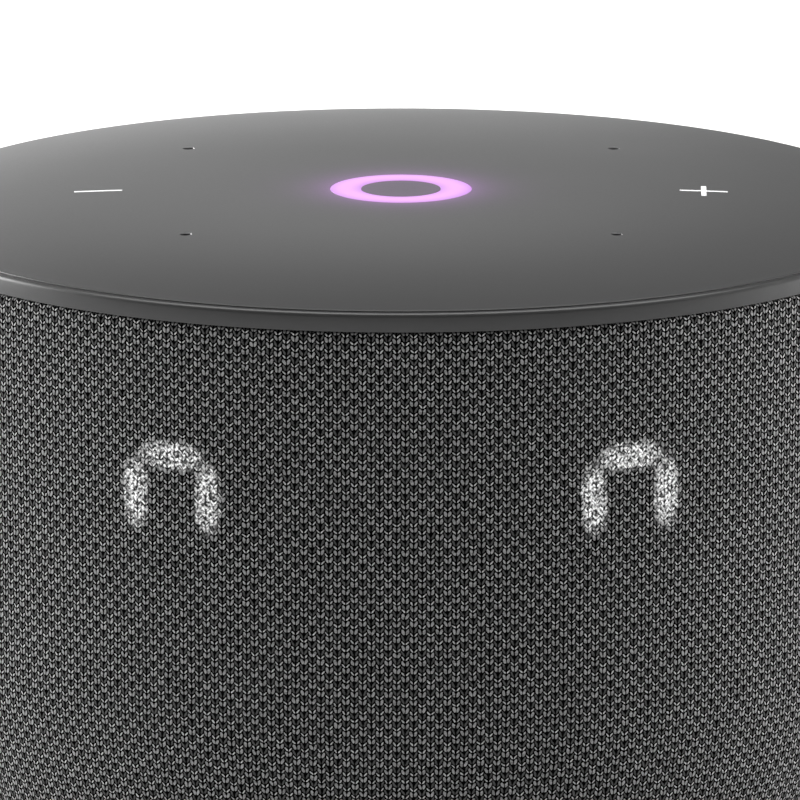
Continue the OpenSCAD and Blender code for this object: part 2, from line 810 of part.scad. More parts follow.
module radiator_surround(s) {
    color("black") at_side(s) translate([0, 0, radiator_seat_x + radiator_frame_t - 0.4]) mirror([0, 0, 1])
        roll(radiator_disc_r + slip, radiator_bore_r - slip, 0, 0.4);
}

// Rear sockets -------------------------------------------------------------------------------------------------

// A slab that follows the frame's curve, between two radii, grown by gap on its edges
module rear_slab(inner, outer, gap) {
    intersection() {
        translate([0, 0, port_z - port_h / 2 - gap]) ring(outer, inner, port_h + 2 * gap);
        translate([-port_w / 2 - gap, 0, port_z - port_h / 2 - gap])
            cube([port_w + 2 * gap, body_r + cut, port_h + 2 * gap]);
    }
}

module through_panel(x, radius) {
    translate([x, chamber_r, port_z]) rotate([-90, 0, 0]) cylinder(r = radius, h = body_r);
}

module port_panel() {
    color("dimgray") difference() {
        union() {
            rear_slab(panel_back_r, port_r, 0);
            rear_slab(panel_back_r, panel_inner_r, port_flange);
        }
        through_panel(power_x, power_bore / 2 + 0.6);
        through_panel(audio_x, nose_r + fit);
        translate([mute_x - (slider_w + mute_travel) / 2 - loose, chamber_r, port_z - slider_h / 2 - loose])
            cube([slider_w + mute_travel + 2 * loose, body_r, slider_h + 2 * loose]);
    }
}

module port_board() {
    color("darkgreen") translate([-port_w / 2, port_board_y, port_z - port_h / 2 - 1])
        cube([port_w, port_board_t, port_h + 2]);
}

// A socket's housing, from the port board outwards, with a bore left for the plug
module socket(x, width, height, bore) {
    difference() {
        translate([x - width / 2, socket_back_y, port_z - height / 2]) cube([width, socket_len, height]);
        translate([x, socket_back_y + 0.8, port_z]) rotate([-90, 0, 0]) cylinder(r = bore, h = socket_len);
    }
}

// The socket and the centre pin that the plug slides over
module power_jack() {
    color("black") socket(power_x, 9, 9, power_bore / 2);
    color("silver") translate([power_x, socket_back_y + 0.4, port_z]) rotate([-90, 0, 0])
        cylinder(r = power_pin_r, h = socket_len - 1.4);
}

// Its round nose reaches through the panel, so that the plug is guided all the way in
module audio_jack() {
    color("black") difference() {
        union() {
            translate([audio_x - 3.2, socket_back_y, port_z - 3.2]) cube([6.4, socket_len, 6.4]);
            translate([audio_x, socket_back_y + socket_len - 1, port_z]) rotate([-90, 0, 0])
                cylinder(r = nose_r, h = nose_y - socket_back_y - socket_len + 1);
        }
        translate([audio_x, socket_back_y + 0.8, port_z]) rotate([-90, 0, 0])
            cylinder(r = audio_bore / 2, h = body_r);
    }
}

module mute_switch() {
    color("black") difference() {
        translate([mute_x - 4.2, socket_back_y, port_z - 2]) cube([8.4, socket_len, 4]);
        translate([mute_x - (slider_w + mute_travel) / 2 - loose, slider_back_y - fit, port_z - slider_h / 2 - fit])
            cube([slider_w + mute_travel + 2 * loose, socket_len, slider_h + 2 * fit]);
    }
}

// Its front stays just inside the panel's curve at both ends of its travel
module mute_slider() {
    reach = abs(mute_x) + mute_travel / 2 + slider_w / 2;
    front_y = sqrt(pow(port_r, 2) - pow(reach, 2)) - loose;
    color("orangered") translate([mute_x - slider_w / 2 - mute_travel / 2, slider_back_y, port_z - slider_h / 2])
        cube([slider_w, front_y - slider_back_y, slider_h]);
}

// From the port board's top edge out of the pocket, up past the chamber and onto the main board
module port_cable() {
    low = port_z + port_h / 2 + 1 + fit;
    up = chamber_r + fit;
    color("white") flat_cable(8, [[port_board_y, low], [up, low], [up, board_top], [up - 4, board_top]]);
}

// Base -----------------------------------------------------------------------------------------------------------

module base_plate() {
    color("black") difference() {
        union() {
            translate([0, 0, base_z]) cylinder(r = base_lip_r, h = hem_z - base_z - slip);
            translate([0, 0, base_z]) cylinder(r = base_plug_r, h = base_t);
            translate([0, 0, base_top - eps]) cylinder(r1 = 19, r2 = 4, h = deflector_h);
        }
        translate([0, 0, base_z - cut]) ring(foot_d / 2 + fit, foot_bore / 2 - fit, foot_seat + cut);
        around(4, leg_circle_r, 45) translate([0, 0, base_z]) {
            cylinder(r = m25[0] + fit, h = base_t + cut);
            cylinder(r = m25[1] + fit, h = foot_seat + m25[2]);
        }
        around(4, lug_circle_r) translate([0, 0, base_z - cut]) {
            cylinder(r = m2[0] + fit, h = base_t + 2 * cut);
            cylinder(r = m2[1] + fit, h = cut + m2[2] + fit);
        }
    }
}

// Four long ones under the foot hold the chamber's legs, four short ones outside it the frame
module base_screws() {
    color("silver") {
        around(4, leg_circle_r, 45) translate([0, 0, base_z + foot_seat + m25[2]]) screw(m25, 6);
        around(4, lug_circle_r) translate([0, 0, base_z + m2[2] + fit]) screw(m2, 5);
    }
}

module foot_ring() {
    color("black") ring(foot_d / 2, foot_bore / 2, foot_rise + foot_seat);
}

top_cover();
bezel_ring();
light_ring_lens();
light_diffuser();
minus_mark();
plus_mark();
touch_board();
touch_pads();
ring_leds();
microphones();
microphone_gaskets();
ribbon_cable();
main_board();
processor_shield();
radio_module();
board_components();
heat_spreader();
board_screws();
top_screws();
fabric_sleeve();
grille_frame();
display_board();
display_leds();
display_mask();
digit_light_pipes(0);  // digit_1
digit_light_pipes(1);  // digit_2
digit_light_pipes(2);  // digit_3
digit_light_pipes(3);  // digit_4
colon_dots();
chamber_body();
chamber_lid();
chamber_gaskets();
lid_screws();
driver_basket();
driver_screws();
top_plate();
magnet();
yoke();
voice_coil();
cone();
dust_cap();
surround();
spider();
radiator_frame(-1);  // radiator_left_frame
radiator_frame(1);  // radiator_right_frame
radiator_diaphragm(-1);  // radiator_left_diaphragm
radiator_diaphragm(1);  // radiator_right_diaphragm
radiator_surround(-1);  // radiator_left_surround
radiator_surround(1);  // radiator_right_surround
port_panel();
port_board();
power_jack();
audio_jack();
mute_switch();
mute_slider();
port_cable();
base_plate();
base_screws();
foot_ring();
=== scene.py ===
# %% [markdown]
# # A smart speaker in a knitted cover
#
# The speaker is a low drum, about as wide as a hand is long. What catches the eye is the knit: thousands of
# two-tone stitches, stretched tight, with a clock glowing through them. Above it sit a thin plastic bezel and a
# gently domed touch top with a lit ring. The frame of the object comes from the CAD model; this lesson rebuilds
# the pieces that show with finer meshes, and gives every piece its finish.

# %% Load the frame
import json
import math
import bmesh
import bpy
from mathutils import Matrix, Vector


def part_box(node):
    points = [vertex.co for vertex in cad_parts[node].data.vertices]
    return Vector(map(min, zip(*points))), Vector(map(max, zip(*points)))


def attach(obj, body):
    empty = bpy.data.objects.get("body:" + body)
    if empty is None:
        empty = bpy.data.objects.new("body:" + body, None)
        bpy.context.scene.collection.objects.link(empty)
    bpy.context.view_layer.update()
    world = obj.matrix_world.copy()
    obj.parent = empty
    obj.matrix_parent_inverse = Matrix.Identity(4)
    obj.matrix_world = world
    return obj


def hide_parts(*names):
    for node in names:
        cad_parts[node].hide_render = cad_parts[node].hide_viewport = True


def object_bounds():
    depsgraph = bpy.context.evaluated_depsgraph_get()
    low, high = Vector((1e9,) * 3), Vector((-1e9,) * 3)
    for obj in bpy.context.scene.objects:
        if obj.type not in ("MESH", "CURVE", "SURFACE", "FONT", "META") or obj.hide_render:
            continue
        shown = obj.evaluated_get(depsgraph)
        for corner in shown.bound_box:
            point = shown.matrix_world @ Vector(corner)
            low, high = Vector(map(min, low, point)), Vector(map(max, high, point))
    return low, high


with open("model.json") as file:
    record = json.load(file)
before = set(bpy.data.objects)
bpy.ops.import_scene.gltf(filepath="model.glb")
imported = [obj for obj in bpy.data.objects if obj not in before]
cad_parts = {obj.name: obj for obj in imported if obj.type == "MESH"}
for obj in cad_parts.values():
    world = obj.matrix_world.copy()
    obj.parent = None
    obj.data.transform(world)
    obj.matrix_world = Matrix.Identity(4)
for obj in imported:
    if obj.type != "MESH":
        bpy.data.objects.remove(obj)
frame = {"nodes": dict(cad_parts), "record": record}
cad_low, cad_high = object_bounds()
print("CAD box in mm:", [round(1000 * (b - a), 1) for a, b in zip(cad_low, cad_high)])

# %% [markdown]
# ## Sizes
#
# Every height and radius below is read from a part of the frame, so each visual piece lands on its CAD part.
# Only what the boxes can't tell, such as the curve of the lower side, is written as a number, in millimetres.

# %% Read the driving sizes
MM = 0.001
TAU = 2 * math.pi


def low(node):
    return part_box(node)[0]


def high(node):
    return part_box(node)[1]


table_z = cad_low.z
dome_z = high("top_cover").z
body_r = high("bezel_ring").x
bezel_drop = 0.12 * MM
edge_z = high("bezel_ring").z + bezel_drop
cover_r = high("top_cover").x
cover_low = low("top_cover").z
knit_top = high("fabric_sleeve").z
knit_low = low("fabric_sleeve").z
knit_r = high("fabric_sleeve").x
ring_r = high("light_ring_lens").x
lens_low = low("light_ring_lens").z
mark_x = (low("plus_mark").x + high("plus_mark").x) / 2
mark_len = high("plus_mark").x - low("plus_mark").x
mark_w = high("minus_mark").y - low("minus_mark").y
gasket_r = 2 * MM
mic_x = high("microphone_gaskets").x - gasket_r
foot_r = high("foot_ring").x
foot_top = high("foot_ring").z
ring_w = 3 * MM
mic_hole_r = 0.5 * MM
knit_t = 0.8 * MM
tuck_h = 24 * MM
tuck_in = 12 * MM
side_taper = 0.4 * MM
print("body radius", round(body_r / MM, 2), "mm")
print("edge at", round(edge_z / MM, 2), "mm, dome at", round(dome_z / MM, 2), "mm")

# %% [markdown]
# ## Camera
#
# A product shot is taken from far away with a long lens, so that near and far edges keep almost the same size.
# The camera stands nearly three metres off and looks down at twelve degrees. The lens is chosen so that the
# picture is a little narrower than the body, which runs out of it on both sides.

# %% Place the camera
camera_distance = 2.9
camera_tilt = math.radians(11.94)
aim = Vector((-0.09 * MM, -1.16 * MM, 44.54 * MM))
picture_width = 76.7 * MM

camera_data = bpy.data.cameras.new("long_lens")
camera_data.sensor_width = 36
camera_data.lens = camera_data.sensor_width * camera_distance / picture_width
camera_data.clip_start = 0.1
camera_data.clip_end = 50
camera = bpy.data.objects.new("camera", camera_data)
bpy.context.collection.objects.link(camera)
away = Vector((0, -math.cos(camera_tilt), math.sin(camera_tilt)))
camera.location = aim + away * camera_distance
camera.rotation_euler = (-away).to_track_quat("-Z", "Y").to_euler()
bpy.context.scene.camera = camera
print("lens", round(camera_data.lens), "mm")

# %% [markdown]
# ## Shader maths
#
# Procedural finishes are small formulas: how far is this point from the middle of a stitch, how rough is the
# plastic here. Written as Python expressions they stay readable. A `Value` holds one output socket of a node, and
# each operator on it adds one Math node. A `Graph` is a node tree whose other nodes come from one method, `node`,
# and a `Finish` is a graph for a material, with one surface shader.

# %% A value that does arithmetic with nodes
class Value:
    def __init__(self, graph, socket):
        self.graph, self.socket = graph, socket

    def math(self, operation, *others):
        return self.graph.node("Math", {"operation": operation}, [self, *others])

    def __add__(self, other): return self.math("ADD", other)
    def __sub__(self, other): return self.math("SUBTRACT", other)
    def __mul__(self, other): return self.math("MULTIPLY", other)
    def __truediv__(self, other): return self.math("DIVIDE", other)
    def __pow__(self, other): return self.math("POWER", other)
    def __rsub__(self, other): return self.graph.node("Math", {"operation": "SUBTRACT"}, [other, self])
    def __rtruediv__(self, other): return self.graph.node("Math", {"operation": "DIVIDE"}, [other, self])
    __radd__ = __add__
    __rmul__ = __mul__

    def floor(self): return self.math("FLOOR")
    def fract(self): return self.math("FRACT")
    def abs(self): return self.math("ABSOLUTE")
    def sqrt(self): return self.math("SQRT")
    def sin(self): return self.math("SINE")
    def sign(self): return self.math("SIGN")
    def at_least(self, other): return self.math("MAXIMUM", other)
    def at_most(self, other): return self.math("MINIMUM", other)
    def modulo(self, other): return self.math("FLOORED_MODULO", other)

    def ramp(self, start, end):
        """0 below start and 1 above end, with a smooth step between."""
        return self.graph.node("MapRange", {"interpolation_type": "SMOOTHSTEP"},
                               {"Value": self, "From Min": start, "From Max": end})


# %% A node tree that is built from formulas
class Graph:
    def __init__(self, tree):
        self.tree = tree

    def node(self, kind, settings=None, inputs=(), output=0):
        made = self.tree.nodes.new("ShaderNode" + kind)
        for name, value in (settings or {}).items():
            setattr(made, name, value)
        pairs = inputs.items() if isinstance(inputs, dict) else enumerate(inputs)
        for key, value in pairs:
            if isinstance(value, Value):
                self.tree.links.new(value.socket, made.inputs[key])
            else:
                made.inputs[key].default_value = value
        return Value(self, made.outputs[output])

    def place(self):
        return self.node("TexCoord", {}, (), "Object")

    def axes(self, vector):
        split = self.node("SeparateXYZ", {}, [vector])
        return [Value(self, split.socket.node.outputs[i]) for i in range(3)]

    def noise(self, vector, scale, detail=2, roughness=0.5):
        return self.node("TexNoise", {}, {"Vector": vector, "Scale": scale, "Detail": detail,
                                          "Roughness": roughness})

    def blend(self, factor, first, second):
        """One colour or another, by a factor from 0 to 1."""
        made = self.node("Mix", {"data_type": "RGBA"}, {}, 2)
        mix = made.socket.node
        for key, value in ((0, factor), (6, first), (7, second)):
            if isinstance(value, Value):
                self.tree.links.new(value.socket, mix.inputs[key])
            else:
                mix.inputs[key].default_value = (*value, 1) if key else value
        return made


# %% A material that is built from formulas
class Finish(Graph):
    def __init__(self, name, **shader):
        self.material = bpy.data.materials.new(name)
        self.material.use_nodes = True
        super().__init__(self.material.node_tree)
        self.surface = self.tree.nodes["Principled BSDF"]
        for socket, value in shader.items():
            self.set(socket.replace("_", " "), value)

    def set(self, socket, value):
        target = self.surface.inputs[socket]
        if isinstance(value, Value):
            self.tree.links.new(value.socket, target)
        else:
            target.default_value = (*value, 1) if isinstance(value, tuple) and len(value) == 3 else value

    def bump(self, height, depth, strength=1.0):
        """Height is in parts of depth, and depth is in millimetres."""
        self.set("Normal", self.node("Bump", {}, {"Height": height, "Distance": depth * MM, "Strength": strength}))


# %% [markdown]
# ## Mesh helpers
#
# Nearly every visible piece of a round speaker is a turned shape. A turned shape starts as a line of points in one
# half plane, its profile, and `bmesh.ops.spin` sweeps the line round the Z axis. The full spin merges its ends, and
# the normals are made to point outwards afterwards, because a spin can turn a shape inside out.

# %% Profile, spin and object helpers
def arc(centre, radius, start, end, steps):
    """Points on an arc in the profile plane, from one angle in degrees to another."""
    angles = [math.radians(start + (end - start) * i / steps) for i in range(steps + 1)]
    return [(centre[0] + radius * math.cos(a), centre[1] + radius * math.sin(a)) for a in angles]


def spun(profile, steps):
    """A bmesh of a profile of (radius, height) points turned round the Z axis."""
    mesh = bmesh.new()
    verts = [mesh.verts.new((r, 0, z)) for r, z in profile]
    edges = [mesh.edges.new(pair) for pair in zip(verts, verts[1:])]
    edges.append(mesh.edges.new((verts[-1], verts[0])))
    bmesh.ops.spin(mesh, geom=verts + edges, cent=(0, 0, 0), axis=(0, 0, 1), angle=TAU, steps=steps, use_merge=True)
    bmesh.ops.remove_doubles(mesh, verts=mesh.verts, dist=1e-7)
    bmesh.ops.dissolve_degenerate(mesh, dist=1e-7, edges=mesh.edges)
    bmesh.ops.recalc_face_normals(mesh, faces=mesh.faces)
    return mesh


def finished(name, mesh, finish, node=None, sharp=35, body="housing"):
    """Turns a bmesh into a named piece that rides on the housing and stands for a CAD node."""
    for edge in mesh.edges:
        edge.smooth = len(edge.link_faces) == 2 and edge.calc_face_angle(0) < math.radians(sharp)
    for face in mesh.faces:
        face.smooth = True
    data = bpy.data.meshes.new(name)
    mesh.to_mesh(data)
    mesh.free()
    data.materials.append(finish.material)
    piece = bpy.data.objects.new(name, data)
    bpy.context.collection.objects.link(piece)
    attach(piece, body)
    if node:
        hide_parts(node)
    print(name, len(data.polygons), "faces")
    return piece


# %% [markdown]
# ## Moulded plastic
#
# The cover, bezel and base are moulded in steel tools whose walls were spark-eroded, so the plastic has a fine
# even grain that breaks up reflections. Two noises make it: a fine one for the grain's bump and a broad one that
# lets the gloss wander a little, as wiped and handled plastic does.

# %% Moulded plastic finish
def moulded(name, colour, roughness, grain=0.25, depth=0.01, sheen=0.08, specular=0.5):
    finish = Finish(name, Specular_IOR_Level=specular)
    place = finish.place()
    fine = finish.noise(place, 1 / (grain * MM), 3)
    broad = finish.noise(place, 1 / (18 * MM), 2)
    finish.set("Roughness", roughness + (broad - 0.5) * sheen + (fine - 0.5) * 0.06)
    darker = tuple(0.86 * c for c in colour)
    finish.set("Base Color", finish.blend(broad * 0.6 + fine * 0.4, darker, colour))
    finish.bump(fine, depth, 0.6)
    return finish


black_plastic = moulded("black_plastic", (0.016, 0.016, 0.017), 0.5)
bezel_plastic = moulded("bezel_plastic", (0.030, 0.030, 0.030), 0.34, depth=0.005)
panel_plastic = moulded("panel_plastic", (0.035, 0.035, 0.037), 0.5)

# %% [markdown]
# ## Touch top
#
# The cover is one moulded disc, almost flat in the middle and falling away to its edge, so that fingers find the
# rim and water runs off. The light ring glows inside the plastic, and a little light spreads into the cover round
# it: that halo belongs to the surface, so it is an emission that fades with the distance from the ring.

# %% Cover finish, with the halo of the light ring
def cover_finish():
    finish = Finish("cover_plastic", Specular_IOR_Level=0.5)
    place = finish.place()
    x, y, z = finish.axes(place)
    radius = (x * x + y * y).sqrt() / MM
    fine = finish.noise(place, 1 / (0.22 * MM), 3)
    broad = finish.noise(place, 1 / (25 * MM), 2)
    finish.set("Roughness", 0.38 + (broad - 0.5) * 0.05 + (fine - 0.5) * 0.05)
    finish.set("Base Color", finish.blend(fine * 0.5 + broad * 0.5, (0.030, 0.030, 0.030), (0.038, 0.038, 0.038)))
    beyond = (radius - ring_r / MM).abs()
    halo = (beyond * -0.50).math("EXPONENT") * 0.19
    # The cover's whole middle, inside the ring, also gets a faint flat violet emission: painted glow.
    inside = 1 - radius.ramp(ring_r / MM - 3.4, ring_r / MM - 2.4)
    finish.set("Emission Color", finish.blend(halo + inside * 0.05, (0, 0, 0), (0.66, 0.25, 0.86)))
    finish.set("Emission Strength", 1.0)
    finish.bump(fine, 0.008, 0.5)
    return finish


cover_plastic = cover_finish()

# %% [markdown]
# The cover's profile follows the dome with a fourth power, which is flat in the middle and steepest at the rim, and
# ends in a small rounded edge. The groove for the light ring is part of the profile. The microphone holes and the
# recesses of the volume marks aren't round about the axis, so they are cut afterwards with the Boolean modifier,
# which is applied at once, so that no cutter stays in the scene.

# %% Cut helper
def cut(mesh, cutters):
    """Subtracts bmesh shapes from a bmesh, and returns the new bmesh."""
    def wrap(shape, name):
        data = bpy.data.meshes.new(name)
        shape.to_mesh(data)
        shape.free()
        made = bpy.data.objects.new(name, data)
        bpy.context.collection.objects.link(made)
        return made
    whole = wrap(mesh, "whole")
    tools = [wrap(shape, "cutter") for shape in cutters]
    for tool in tools:
        step = whole.modifiers.new("cut", "BOOLEAN")
        step.operation, step.object, step.solver = "DIFFERENCE", tool, "EXACT"
    evaluated = whole.evaluated_get(bpy.context.evaluated_depsgraph_get())
    result = bmesh.new()
    result.from_mesh(evaluated.to_mesh())
    for made in [whole, *tools]:
        bpy.data.objects.remove(made)
    return result


def block(low_corner, high_corner):
    """A box between two corners."""
    mesh = bmesh.new()
    bmesh.ops.create_cube(mesh, size=1)
    size = Vector(high_corner) - Vector(low_corner)
    bmesh.ops.scale(mesh, vec=size, verts=mesh.verts)
    bmesh.ops.translate(mesh, vec=(Vector(high_corner) + Vector(low_corner)) / 2, verts=mesh.verts)
    return mesh


def dome(r):
    """Height of the cover's upper face at a distance from the middle."""
    return dome_z - (dome_z - edge_z) * (r / cover_r) ** 4


# %% Top cover
edge_round = 0.12 * MM
groove_low = lens_low
cover_profile = [(0, cover_low), (0, dome_z)]
cover_profile += [(r, dome(r)) for r in ((ring_r - ring_w) * i / 6 for i in range(1, 7))]
cover_profile += [(ring_r - ring_w, groove_low), (ring_r, groove_low), (ring_r, dome(ring_r))]
steps = 44
ring_to_edge = cover_r - edge_round - ring_r
outer_radii = [ring_r + ring_to_edge * i / steps for i in range(1, steps + 1)]
cover_profile += [(r, dome(r)) for r in outer_radii]
cover_profile += arc((cover_r - edge_round, dome(cover_r - edge_round) - edge_round), edge_round, 80, 0, 5)
cover_profile += [(cover_r, cover_low)]
cover_mesh = spun(cover_profile, 256)

hole_cutters = []
mic_circle = mic_x * math.sqrt(2)
for i in range(4):
    turn = math.radians(45 + 90 * i)
    place = (mic_circle * math.cos(turn), mic_circle * math.sin(turn))
    drill = bmesh.new()
    bmesh.ops.create_cone(drill, segments=32, cap_ends=True, radius1=mic_hole_r, radius2=mic_hole_r,
                          depth=20 * MM)
    bmesh.ops.translate(drill, vec=(place[0], place[1], dome_z), verts=drill.verts)
    sink = bmesh.new()
    bmesh.ops.create_cone(sink, segments=32, cap_ends=True, radius1=mic_hole_r * 0.9, radius2=mic_hole_r * 1.7,
                          depth=0.8 * mic_hole_r)
    bmesh.ops.translate(sink, vec=(place[0], place[1], dome(mic_circle) + 0.15 * mic_hole_r), verts=sink.verts)
    hole_cutters += [drill, sink]


def mark_bars():
    """The strokes of the volume marks: (centre x, half length along X, half length along Y)."""
    half, thin = mark_len / 2, mark_w / 2
    return [(-mark_x, half, thin), (mark_x, half, thin), (mark_x, thin, half)]


def mark_floor():
    return dome(mark_x + mark_len / 2) - 0.3 * MM


for x, half_x, half_y in mark_bars():
    hole_cutters.append(block((x - half_x, -half_y, mark_floor()), (x + half_x, half_y, dome_z + MM)))
cover_mesh = cut(cover_mesh, hole_cutters)
finished("touch_cover", cover_mesh, cover_plastic, "top_cover", sharp=30)

# %% [markdown]
# The marks are white plastic inlays, moulded first and set into the cover's tool, so they lie flush with the dome.
# Each stroke is a thin bar whose top is cut into short lengths, so that it can follow the dome. Their white also
# carries a faint painted glow, an emission with no lamp behind it.

# %% Volume marks
def mark_piece(name, bars, node):
    mesh = bmesh.new()
    for x, half_x, half_y in bars:
        bar = block((x - half_x, -half_y, mark_floor() + 0.01 * MM), (x + half_x, half_y, dome_z))
        for i in range(1, 8):
            bmesh.ops.bisect_plane(bar, geom=bar.verts[:] + bar.edges[:] + bar.faces[:],
                                   plane_co=(x - half_x + 2 * half_x * i / 8, 0, 0), plane_no=(1, 0, 0))
        for vert in bar.verts:
            if vert.co.z > mark_floor() + 0.1 * MM:
                vert.co.z = dome(math.hypot(vert.co.x, vert.co.y)) + 0.01 * MM
        data = bpy.data.meshes.new("bar")
        bar.to_mesh(data)
        bar.free()
        mesh.from_mesh(data)
        bpy.data.meshes.remove(data)
    return finished(name, mesh, mark_white_and_glow, node, sharp=30)


mark_white_and_glow = Finish("mark_white_and_glow", Roughness=0.55, Specular_IOR_Level=0.2)
grain = mark_white_and_glow.noise(mark_white_and_glow.place(), 1 / (0.12 * MM), 2)
mark_white_and_glow.set("Base Color", mark_white_and_glow.blend(grain, (0.66, 0.66, 0.67), (0.80, 0.80, 0.80)))
# Painted glow: a faint grey emission that brightens the white marks, though nothing lights them.
mark_white_and_glow.set("Emission Color", mark_white_and_glow.blend(grain, (0.10, 0.10, 0.10), (0.15, 0.15, 0.15)))
mark_white_and_glow.set("Emission Strength", 1.0)
mark_piece("minus_inlay", mark_bars()[:1], "minus_mark")
mark_piece("plus_inlay", mark_bars()[1:], "plus_mark")

# %% [markdown]
# ## Light ring
#
# A frosted ring sits in the groove, flush with the cover. Light comes up through it from eight small lamps, so it is
# brightest along its middle and turns a deeper violet towards its walls. It's a spun profile with tiny rounded edges.

# %% Light ring
def ring_finish():
    finish = Finish("frosted_violet", Roughness=0.5, Specular_IOR_Level=0.1)
    x, y, z = finish.axes(finish.place())
    radius = (x * x + y * y).sqrt() / MM
    middle = (ring_r - ring_w / 2) / MM
    off = ((radius - middle) / (ring_w / MM / 2)).abs()
    wave = finish.noise(finish.place(), 1 / (3.5 * MM), 1)
    depth = (off ** 2.2) * 0.75 + (wave - 0.5) * 0.25
    finish.set("Base Color", finish.blend(wave, (0.03, 0.02, 0.035), (0.05, 0.03, 0.06)))
    finish.set("Emission Color", finish.blend(depth, (0.97, 0.50, 1.0), (0.63, 0.27, 0.88)))
    finish.set("Emission Strength", 0.92)
    return finish


lens_top = dome(ring_r)
lens_round = 0.08 * MM
lens_profile = [(ring_r - ring_w + 0.02 * MM, lens_low + 0.02 * MM)]
lens_profile += arc((ring_r - ring_w + 0.02 * MM + lens_round, lens_top - lens_round), lens_round, 180, 90, 3)
lens_profile += [(ring_r - ring_w / 2, lens_top)]
lens_profile += arc((ring_r - 0.02 * MM - lens_round, lens_top - lens_round), lens_round, 90, 0, 3)
lens_profile += [(ring_r - 0.02 * MM, lens_low + 0.02 * MM)]
finished("light_ring", spun(lens_profile, 128), ring_finish(), "light_ring_lens")

# %% [markdown]
# ## Bezel
#
# The bezel holds the cover and hides the upper hem of the knit. Its outer edge is rounded, which draws the thin
# light line that runs round the top, and its top lies a hair below the edge of the cover, so the seam between them
# shows dark. It stands a little proud of the knit, whose upper edge rolls in under it: another dark line.

# %% Bezel
bezel_low = knit_top + 0.05 * MM
bezel_round = 0.5 * MM
lower_round = 0.15 * MM
lip_h = 0.85 * MM
seat_gap = 0.05 * MM
cover_gap = 0.1 * MM
skirt_low = low("bezel_ring").z
skirt_r = knit_r - knit_t - 1.9 * MM
skirt_t = 1.6 * MM
bezel_profile = arc((body_r - bezel_round, edge_z - bezel_drop - bezel_round), bezel_round, 90, 0, 10)
bezel_profile += arc((body_r - lower_round, bezel_low + lower_round), lower_round, 0, -90, 3)
bezel_profile += [(knit_r - knit_t, bezel_low), (knit_r - knit_t, bezel_low - lip_h), (skirt_r, bezel_low - lip_h),
                  (skirt_r, skirt_low), (skirt_r - skirt_t, skirt_low),
                  (skirt_r - skirt_t, cover_low - seat_gap), (cover_r + cover_gap, cover_low - seat_gap)]
finished("bezel", spun(bezel_profile, 320), bezel_plastic, "bezel_ring")

# %% [markdown]
# ## Knitted cover
#
# The knit is a tube pulled over the frame. Its columns of stitches, the wales, run straight down, and its rows, the
# courses, run round. Modelling forty thousand stitches as loops of yarn would take millions of faces for relief a
# third of a millimetre deep. So the tube is a plain spun shell, and the stitches are drawn by a formula on a UV map
# that counts them: U is the number of the wale and V counts pairs of courses down from the top.

# %% Knit gauge
wales = 380
course_pair = 1.522 * MM
wale_w = TAU * knit_r / wales
tuck_z = knit_low + tuck_h
tuck_b = tuck_h * 1.04


def side(z):
    """Radius of the knit's outside at a height: a slight taper, then a quarter of an ellipse."""
    straight = knit_r - side_taper * (knit_top - max(z, tuck_z)) / (knit_top - tuck_z)
    drop = max(tuck_z - z, 0) / tuck_b
    return straight - tuck_in * (1 - math.sqrt(1 - drop * drop))


print("stitch", round(wale_w / MM, 3), "by", round(course_pair / 2 / MM, 3), "mm")

# %% Knit shell
straight_steps, round_steps = 22, 26
heights = [knit_top - (knit_top - tuck_z) * i / straight_steps for i in range(straight_steps)]
last = math.asin((tuck_z - knit_low) / tuck_b)
heights += [tuck_z - tuck_b * math.sin(last * i / round_steps) for i in range(round_steps + 1)]
hem_r = low("base_plate").x * -1 - 1.3 * MM
inner_heights = [z for z in heights[::3] if z > knit_low + knit_t]
roll = 0.34 * MM
heights = [knit_top - roll * share for share in (0, 0.1, 0.25, 0.45, 0.7)] + [knit_top - roll] + heights[1:]


def rolled(z):
    """Radius of the knit's outside, rolled in at its upper edge."""
    into = max(z - (knit_top - roll), 0) / roll
    return side(z) - roll * 1.6 * (1 - math.sqrt(max(1 - into * into, 0)))


outer = [(rolled(z), z) for z in heights]
inner = [(side(z) - knit_t, z) for z in reversed(inner_heights)]
inner_low = knit_low + knit_t
knit_profile = outer + [(hem_r, knit_low), (hem_r, inner_low), (side(inner_low) - knit_t, inner_low)] + inner
knit_mesh = spun(knit_profile, 360)

down = [0.0]
for (r0, z0), (r1, z1) in zip(outer, outer[1:]):
    down.append(down[-1] + math.hypot(r1 - r0, z1 - z0))


rolled_up = down[5] - roll
down = [way - rolled_up for way in down]


def way_down(z):
    """Distance along the side from the top of the knit down to a height."""
    for i in range(1, len(heights)):
        if z >= heights[i]:
            share = (heights[i - 1] - z) / (heights[i - 1] - heights[i])
            return down[i - 1] + (down[i] - down[i - 1]) * share
    return down[-1]


knit_length = down[-1] + rolled_up + outer[-1][0] - hem_r
print("the tube is", round(TAU * knit_r / MM), "mm round and", round(knit_length / MM, 1), "mm long")

# %% [markdown]
# The UV map is written while the mesh is still a bmesh. A face next to the start of the count has corners on both
# sides of it, so each corner's angle is taken as a small step from the angle of the face's middle. The window for the
# socket panel is made with four `bisect_plane` cuts; the faces inside them go, and the two rims are bridged.

# %% Count the stitches in a UV map
stitch_uv = knit_mesh.loops.layers.uv.new("stitches")
for face in knit_mesh.faces:
    middle = face.calc_center_median()
    turn = math.atan2(-middle.x, middle.y) % TAU
    for loop in face.loops:
        at = loop.vert.co
        step = (math.atan2(-at.x, at.y) - turn + math.pi) % TAU - math.pi
        extra = max(side(at.z) - math.hypot(at.x, at.y), 0) if at.z < knit_low + 0.1 * MM else 0
        loop[stitch_uv].uv = ((turn + step) / TAU * wales, (way_down(at.z) + extra) / course_pair)

